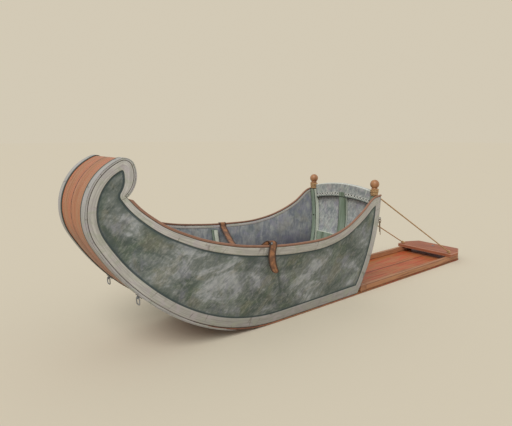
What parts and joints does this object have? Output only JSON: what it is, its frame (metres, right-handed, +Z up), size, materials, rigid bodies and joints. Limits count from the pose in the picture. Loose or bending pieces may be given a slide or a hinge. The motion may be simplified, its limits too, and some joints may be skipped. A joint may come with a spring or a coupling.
{
  "type": "dog sled",
  "caption": "Carriole dog sled with a scroll-shaped bow, hide-covered sides, a raked back with turned posts, roped stays and an open tail deck.",
  "frame": {"origin": "centre of the bounding box, at the boards' undersides", "axes": "+X towards the tail deck, so the bow points to -X; +Z up; the sled's left side is at -Y"},
  "size_m": [2.7802, 0.6371, 0.8398],
  "materials": {
    "board": "oiled and worn, orange-red",
    "hide": "mottled grey-green, matt",
    "binding": "pale warm grey, matt",
    "rail": "reddish brown, worn",
    "green_wood": "green paint, worn",
    "blue_hide": "mottled blue-grey, matt",
    "turned_wood": "varnished, orange-brown",
    "rope": "laid hemp",
    "leather": "brown, worn",
    "iron": "forged, dull"
  },
  "bodies": {
    "sled": {"bottom_board_left": "board", "bottom_board_right": "board", "cross_bar_1": "board", "cross_bar_2": "board", "cross_bar_3": "board", "cross_bar_4": "board", "cross_bar_5": "board", "cross_bar_6": "board", "nose_bar": "board", "deck_front_bar": "board", "deck_rail_left": "board", "deck_rail_right": "board", "deck_rear_bar": "board", "side_panel_left": "hide", "side_panel_right": "hide", "side_binding_left": "binding", "side_binding_right": "binding", "edge_strip_left": "binding", "edge_strip_right": "binding", "inner_fold_left": "binding", "inner_fold_right": "binding", "scallop_edging": "binding", "gunwale_rail_left": "rail", "gunwale_rail_right": "rail", "back_post_left": "green_wood", "back_post_right": "green_wood", "back_centre_stile": "green_wood", "back_sill": "green_wood", "mid_rib_left": "green_wood", "mid_rib_right": "green_wood", "back_panel": "blue_hide", "back_arch_rail": "blue_hide", "post_finial_left": "turned_wood", "post_finial_right": "turned_wood", "stay_rope_left": "rope", "stay_rope_right": "rope", "stay_knot_left": "rope", "stay_knot_right": "rope", "lap_strap": "leather", "thong_loop": "leather", "thong_tail_1": "leather", "thong_tail_2": "leather", "eye_bolt_left": "iron", "eye_bolt_right": "iron", "hitch_keeper_left": "iron", "hitch_keeper_right": "iron"},
    "hitch_left": {"hitch_ring_left": "iron"},
    "hitch_right": {"hitch_ring_right": "iron"}
  },
  "joints": [
    {"name": "hitch_swing_left", "type": "hinge", "parent": "sled", "child": "hitch_left", "pos_m": [-1.19862, -0.16107, 0.27923], "axis": [0, 1, 0], "range_deg": [-40, 130]},
    {"name": "hitch_swing_right", "type": "hinge", "parent": "sled", "child": "hitch_right", "pos_m": [-1.19862, 0.16107, 0.27923], "axis": [0, 1, 0], "range_deg": [-40, 130]}
  ]
}
